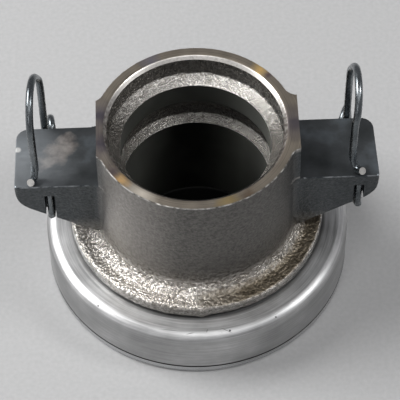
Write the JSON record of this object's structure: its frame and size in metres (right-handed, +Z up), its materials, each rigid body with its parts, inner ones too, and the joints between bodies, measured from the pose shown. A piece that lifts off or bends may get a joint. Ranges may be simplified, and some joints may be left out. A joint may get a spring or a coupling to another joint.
{
  "type": "clutch release bearing",
  "caption": "Cast sleeve with two flat fork ears, spring wire clips and a guide bore, on a shrouded ball bearing whose lower ring presses on the clutch fingers.",
  "frame": {"origin": "centre of the thrust face that the bearing stands on", "axes": "+Z up the guide bore to the machined rim, +X through the right ear, the clips' curled tips towards -Y"},
  "size_m": [0.1204, 0.104, 0.0871],
  "materials": {
    "cast_iron": "rough cast, rim and pads machined",
    "bearing_steel": "ground",
    "drawn_sheet": "satin, drawn and turned",
    "polished_steel": "polished",
    "spring_wire": "blued, glossy",
    "cage_plastic": "moulded",
    "seal_rubber": "matt"
  },
  "bodies": {
    "carrier": {"carrier": "cast_iron", "inner_ring": "bearing_steel", "clip_left": "spring_wire", "clip_right": "spring_wire"},
    "outer_ring": {"outer_ring": "bearing_steel", "shroud": "drawn_sheet", "front_seal": "seal_rubber"},
    "ball_cage": {"ball_cage": "cage_plastic"},
    "ball_01": {"ball_01": "polished_steel"},
    "ball_02": {"ball_02": "polished_steel"},
    "ball_03": {"ball_03": "polished_steel"},
    "ball_04": {"ball_04": "polished_steel"},
    "ball_05": {"ball_05": "polished_steel"},
    "ball_06": {"ball_06": "polished_steel"},
    "ball_07": {"ball_07": "polished_steel"},
    "ball_08": {"ball_08": "polished_steel"},
    "ball_09": {"ball_09": "polished_steel"},
    "ball_10": {"ball_10": "polished_steel"},
    "ball_11": {"ball_11": "polished_steel"},
    "ball_12": {"ball_12": "polished_steel"},
    "ball_13": {"ball_13": "polished_steel"},
    "ball_14": {"ball_14": "polished_steel"},
    "ball_15": {"ball_15": "polished_steel"},
    "ball_16": {"ball_16": "polished_steel"}
  },
  "joints": [
    {"name": "outer_ring_spin", "type": "hinge", "parent": "carrier", "child": "outer_ring", "pos_m": [0, 0, 0], "axis": [0, 0, 1], "continuous": true},
    {"name": "cage_orbit", "type": "hinge", "parent": "carrier", "child": "ball_cage", "pos_m": [0, 0, 0.011], "axis": [0, 0, 1], "continuous": true},
    {"name": "ball_01_roll", "type": "hinge", "parent": "ball_cage", "child": "ball_01", "pos_m": [0.03972, 0.0079, 0.011], "axis": [0, 0, 1], "continuous": true},
    {"name": "ball_02_roll", "type": "hinge", "parent": "ball_cage", "child": "ball_02", "pos_m": [0.03367, 0.0225, 0.011], "axis": [0, 0, 1], "continuous": true},
    {"name": "ball_03_roll", "type": "hinge", "parent": "ball_cage", "child": "ball_03", "pos_m": [0.0225, 0.03367, 0.011], "axis": [0, 0, 1], "continuous": true},
    {"name": "ball_04_roll", "type": "hinge", "parent": "ball_cage", "child": "ball_04", "pos_m": [0.0079, 0.03972, 0.011], "axis": [0, 0, 1], "continuous": true},
    {"name": "ball_05_roll", "type": "hinge", "parent": "ball_cage", "child": "ball_05", "pos_m": [-0.0079, 0.03972, 0.011], "axis": [0, 0, 1], "continuous": true},
    {"name": "ball_06_roll", "type": "hinge", "parent": "ball_cage", "child": "ball_06", "pos_m": [-0.0225, 0.03367, 0.011], "axis": [0, 0, 1], "continuous": true},
    {"name": "ball_07_roll", "type": "hinge", "parent": "ball_cage", "child": "ball_07", "pos_m": [-0.03367, 0.0225, 0.011], "axis": [0, 0, 1], "continuous": true},
    {"name": "ball_08_roll", "type": "hinge", "parent": "ball_cage", "child": "ball_08", "pos_m": [-0.03972, 0.0079, 0.011], "axis": [0, 0, 1], "continuous": true},
    {"name": "ball_09_roll", "type": "hinge", "parent": "ball_cage", "child": "ball_09", "pos_m": [-0.03972, -0.0079, 0.011], "axis": [0, 0, 1], "continuous": true},
    {"name": "ball_10_roll", "type": "hinge", "parent": "ball_cage", "child": "ball_10", "pos_m": [-0.03367, -0.0225, 0.011], "axis": [0, 0, 1], "continuous": true},
    {"name": "ball_11_roll", "type": "hinge", "parent": "ball_cage", "child": "ball_11", "pos_m": [-0.0225, -0.03367, 0.011], "axis": [0, 0, 1], "continuous": true},
    {"name": "ball_12_roll", "type": "hinge", "parent": "ball_cage", "child": "ball_12", "pos_m": [-0.0079, -0.03972, 0.011], "axis": [0, 0, 1], "continuous": true},
    {"name": "ball_13_roll", "type": "hinge", "parent": "ball_cage", "child": "ball_13", "pos_m": [0.0079, -0.03972, 0.011], "axis": [0, 0, 1], "continuous": true},
    {"name": "ball_14_roll", "type": "hinge", "parent": "ball_cage", "child": "ball_14", "pos_m": [0.0225, -0.03367, 0.011], "axis": [0, 0, 1], "continuous": true},
    {"name": "ball_15_roll", "type": "hinge", "parent": "ball_cage", "child": "ball_15", "pos_m": [0.03367, -0.0225, 0.011], "axis": [0, 0, 1], "continuous": true},
    {"name": "ball_16_roll", "type": "hinge", "parent": "ball_cage", "child": "ball_16", "pos_m": [0.03972, -0.0079, 0.011], "axis": [0, 0, 1], "continuous": true}
  ],
  "couplings": [
    {"joint": "cage_orbit", "follows": "outer_ring_spin", "ratio": 0.5679},
    {"joint": "ball_01_roll", "follows": "outer_ring_spin", "ratio": 3.6139},
    {"joint": "ball_02_roll", "follows": "outer_ring_spin", "ratio": 3.6139},
    {"joint": "ball_03_roll", "follows": "outer_ring_spin", "ratio": 3.6139},
    {"joint": "ball_04_roll", "follows": "outer_ring_spin", "ratio": 3.6139},
    {"joint": "ball_05_roll", "follows": "outer_ring_spin", "ratio": 3.6139},
    {"joint": "ball_06_roll", "follows": "outer_ring_spin", "ratio": 3.6139},
    {"joint": "ball_07_roll", "follows": "outer_ring_spin", "ratio": 3.6139},
    {"joint": "ball_08_roll", "follows": "outer_ring_spin", "ratio": 3.6139},
    {"joint": "ball_09_roll", "follows": "outer_ring_spin", "ratio": 3.6139},
    {"joint": "ball_10_roll", "follows": "outer_ring_spin", "ratio": 3.6139},
    {"joint": "ball_11_roll", "follows": "outer_ring_spin", "ratio": 3.6139},
    {"joint": "ball_12_roll", "follows": "outer_ring_spin", "ratio": 3.6139},
    {"joint": "ball_13_roll", "follows": "outer_ring_spin", "ratio": 3.6139},
    {"joint": "ball_14_roll", "follows": "outer_ring_spin", "ratio": 3.6139},
    {"joint": "ball_15_roll", "follows": "outer_ring_spin", "ratio": 3.6139},
    {"joint": "ball_16_roll", "follows": "outer_ring_spin", "ratio": 3.6139}
  ]
}
